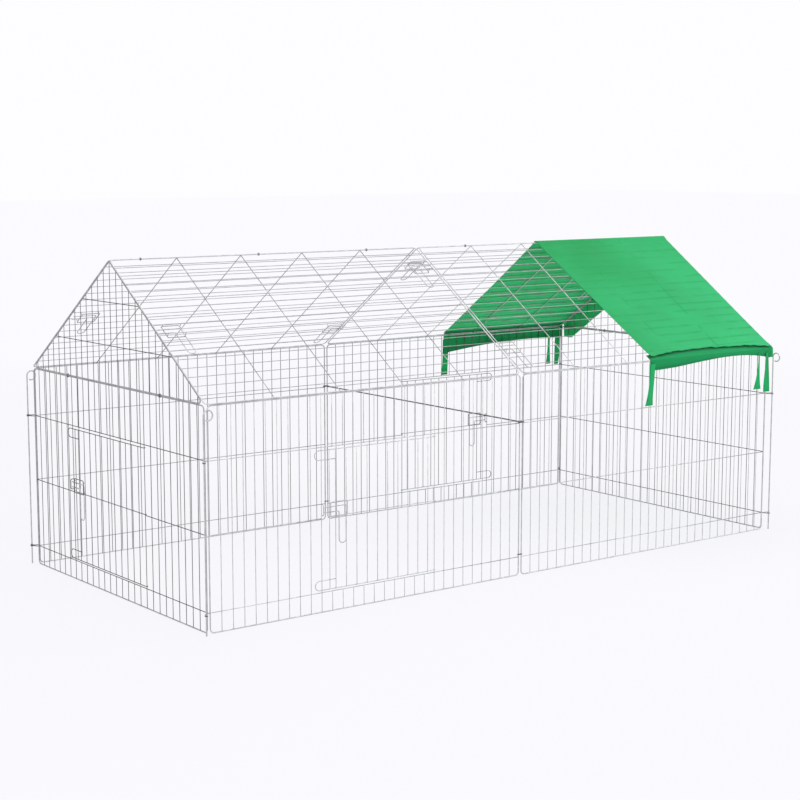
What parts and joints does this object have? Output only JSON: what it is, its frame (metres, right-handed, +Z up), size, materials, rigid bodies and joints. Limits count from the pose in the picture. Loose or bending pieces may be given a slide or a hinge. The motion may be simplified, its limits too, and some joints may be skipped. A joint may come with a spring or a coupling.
{
  "type": "pet run",
  "caption": "Long wire-mesh pet run with a hinged gable roof, slide-bolted wall doors, pull-out corner rods and a cloth sunshade over one end.",
  "frame": {"origin": "on the ground under the middle of the run", "axes": "+X along the run towards the sunshade, +Y across it away from the front wall, +Z up"},
  "size_m": [2.2376, 1.118, 0.9781],
  "materials": {
    "galvanised_wire": "bright zinc coat",
    "shade_cloth": "woven, green",
    "shade_trim": "woven, darker green"
  },
  "bodies": {
    "run": {"front_left_panel": "galvanised_wire", "front_right_panel": "galvanised_wire", "back_right_panel": "galvanised_wire", "back_left_panel": "galvanised_wire", "left_end_panel": "galvanised_wire", "right_end_panel": "galvanised_wire", "left_gable": "galvanised_wire", "right_gable": "galvanised_wire", "tie_bar": "galvanised_wire", "front_joint_clip": "galvanised_wire", "back_joint_clip": "galvanised_wire", "ridge_rings": "galvanised_wire", "left_gable_rings": "galvanised_wire", "right_gable_rings": "galvanised_wire"},
    "front_left_rod": {"front_left_rod": "galvanised_wire"},
    "front_right_rod": {"front_right_rod": "galvanised_wire"},
    "back_left_rod": {"back_left_rod": "galvanised_wire"},
    "back_right_rod": {"back_right_rod": "galvanised_wire"},
    "front_door": {"front_door": "galvanised_wire"},
    "front_door_bolt": {"front_door_bolt": "galvanised_wire"},
    "back_door": {"back_door": "galvanised_wire"},
    "back_door_bolt": {"back_door_bolt": "galvanised_wire"},
    "left_door": {"left_door": "galvanised_wire"},
    "left_door_bolt": {"left_door_bolt": "galvanised_wire"},
    "front_left_roof": {"front_left_roof": "galvanised_wire"},
    "front_left_gable_bolt": {"front_left_gable_bolt": "galvanised_wire"},
    "front_left_joint_bolt": {"front_left_joint_bolt": "galvanised_wire"},
    "front_right_roof": {"front_right_roof": "galvanised_wire", "shade_front": "shade_cloth", "shade_front_flap": "shade_cloth", "shade_front_valance": "shade_trim", "shade_front_straps": "shade_trim"},
    "front_right_gable_bolt": {"front_right_gable_bolt": "galvanised_wire"},
    "front_right_joint_bolt": {"front_right_joint_bolt": "galvanised_wire"},
    "back_left_roof": {"back_left_roof": "galvanised_wire"},
    "back_left_gable_bolt": {"back_left_gable_bolt": "galvanised_wire"},
    "back_left_joint_bolt": {"back_left_joint_bolt": "galvanised_wire"},
    "back_right_roof": {"back_right_roof": "galvanised_wire", "shade_back": "shade_cloth", "shade_back_flap": "shade_cloth", "shade_back_valance": "shade_trim", "shade_back_straps": "shade_trim"},
    "back_right_gable_bolt": {"back_right_gable_bolt": "galvanised_wire"},
    "back_right_joint_bolt": {"back_right_joint_bolt": "galvanised_wire"}
  },
  "joints": [
    {"name": "front_left_rod_lift", "type": "slide", "parent": "run", "child": "front_left_rod", "axis": [0, 0, 1], "range_m": [0, 0.5]},
    {"name": "front_right_rod_lift", "type": "slide", "parent": "run", "child": "front_right_rod", "axis": [0, 0, 1], "range_m": [0, 0.5]},
    {"name": "back_left_rod_lift", "type": "slide", "parent": "run", "child": "back_left_rod", "axis": [0, 0, 1], "range_m": [0, 0.5]},
    {"name": "back_right_rod_lift", "type": "slide", "parent": "run", "child": "back_right_rod", "axis": [0, 0, 1], "range_m": [0, 0.5]},
    {"name": "front_door_hinge", "type": "hinge", "parent": "run", "child": "front_door", "pos_m": [-0.33205, -0.515, 0.293], "axis": [0, 0, 1], "range_deg": [0, 110]},
    {"name": "front_door_bolt_slide", "type": "slide", "parent": "front_door", "child": "front_door_bolt", "axis": [-1, 0, 0], "range_m": [0, 0.025]},
    {"name": "back_door_hinge", "type": "hinge", "parent": "run", "child": "back_door", "pos_m": [0.33205, 0.515, 0.293], "axis": [0, 0, 1], "range_deg": [0, 110]},
    {"name": "back_door_bolt_slide", "type": "slide", "parent": "back_door", "child": "back_door_bolt", "axis": [1, 0, 0], "range_m": [0, 0.025]},
    {"name": "left_door_hinge", "type": "hinge", "parent": "run", "child": "left_door", "pos_m": [-1.1, -0.18179, 0.293], "axis": [0, 0, 1], "range_deg": [0, 110]},
    {"name": "left_door_bolt_slide", "type": "slide", "parent": "left_door", "child": "left_door_bolt", "axis": [0, 1, 0], "range_m": [0, 0.025]},
    {"name": "front_left_roof_hinge", "type": "hinge", "parent": "run", "child": "front_left_roof", "pos_m": [-0.55, -0.00193, 0.97405], "axis": [-1, 0, 0], "range_deg": [0, 110]},
    {"name": "front_left_gable_bolt_slide", "type": "slide", "parent": "front_left_roof", "child": "front_left_gable_bolt", "axis": [-1, 0, 0], "range_m": [0, 0.025]},
    {"name": "front_left_joint_bolt_slide", "type": "slide", "parent": "front_left_roof", "child": "front_left_joint_bolt", "axis": [1, 0, 0], "range_m": [0, 0.025]},
    {"name": "front_right_roof_hinge", "type": "hinge", "parent": "run", "child": "front_right_roof", "pos_m": [0.55, -0.00193, 0.97405], "axis": [-1, 0, 0], "range_deg": [0, 110]},
    {"name": "front_right_gable_bolt_slide", "type": "slide", "parent": "front_right_roof", "child": "front_right_gable_bolt", "axis": [1, 0, 0], "range_m": [0, 0.025]},
    {"name": "front_right_joint_bolt_slide", "type": "slide", "parent": "front_right_roof", "child": "front_right_joint_bolt", "axis": [-1, 0, 0], "range_m": [0, 0.025]},
    {"name": "back_left_roof_hinge", "type": "hinge", "parent": "run", "child": "back_left_roof", "pos_m": [-0.55, 0.00193, 0.97405], "axis": [1, 0, 0], "range_deg": [0, 110]},
    {"name": "back_left_gable_bolt_slide", "type": "slide", "parent": "back_left_roof", "child": "back_left_gable_bolt", "axis": [-1, 0, 0], "range_m": [0, 0.025]},
    {"name": "back_left_joint_bolt_slide", "type": "slide", "parent": "back_left_roof", "child": "back_left_joint_bolt", "axis": [1, 0, 0], "range_m": [0, 0.025]},
    {"name": "back_right_roof_hinge", "type": "hinge", "parent": "run", "child": "back_right_roof", "pos_m": [0.55, 0.00193, 0.97405], "axis": [1, 0, 0], "range_deg": [0, 110]},
    {"name": "back_right_gable_bolt_slide", "type": "slide", "parent": "back_right_roof", "child": "back_right_gable_bolt", "axis": [1, 0, 0], "range_m": [0, 0.025]},
    {"name": "back_right_joint_bolt_slide", "type": "slide", "parent": "back_right_roof", "child": "back_right_joint_bolt", "axis": [-1, 0, 0], "range_m": [0, 0.025]}
  ]
}
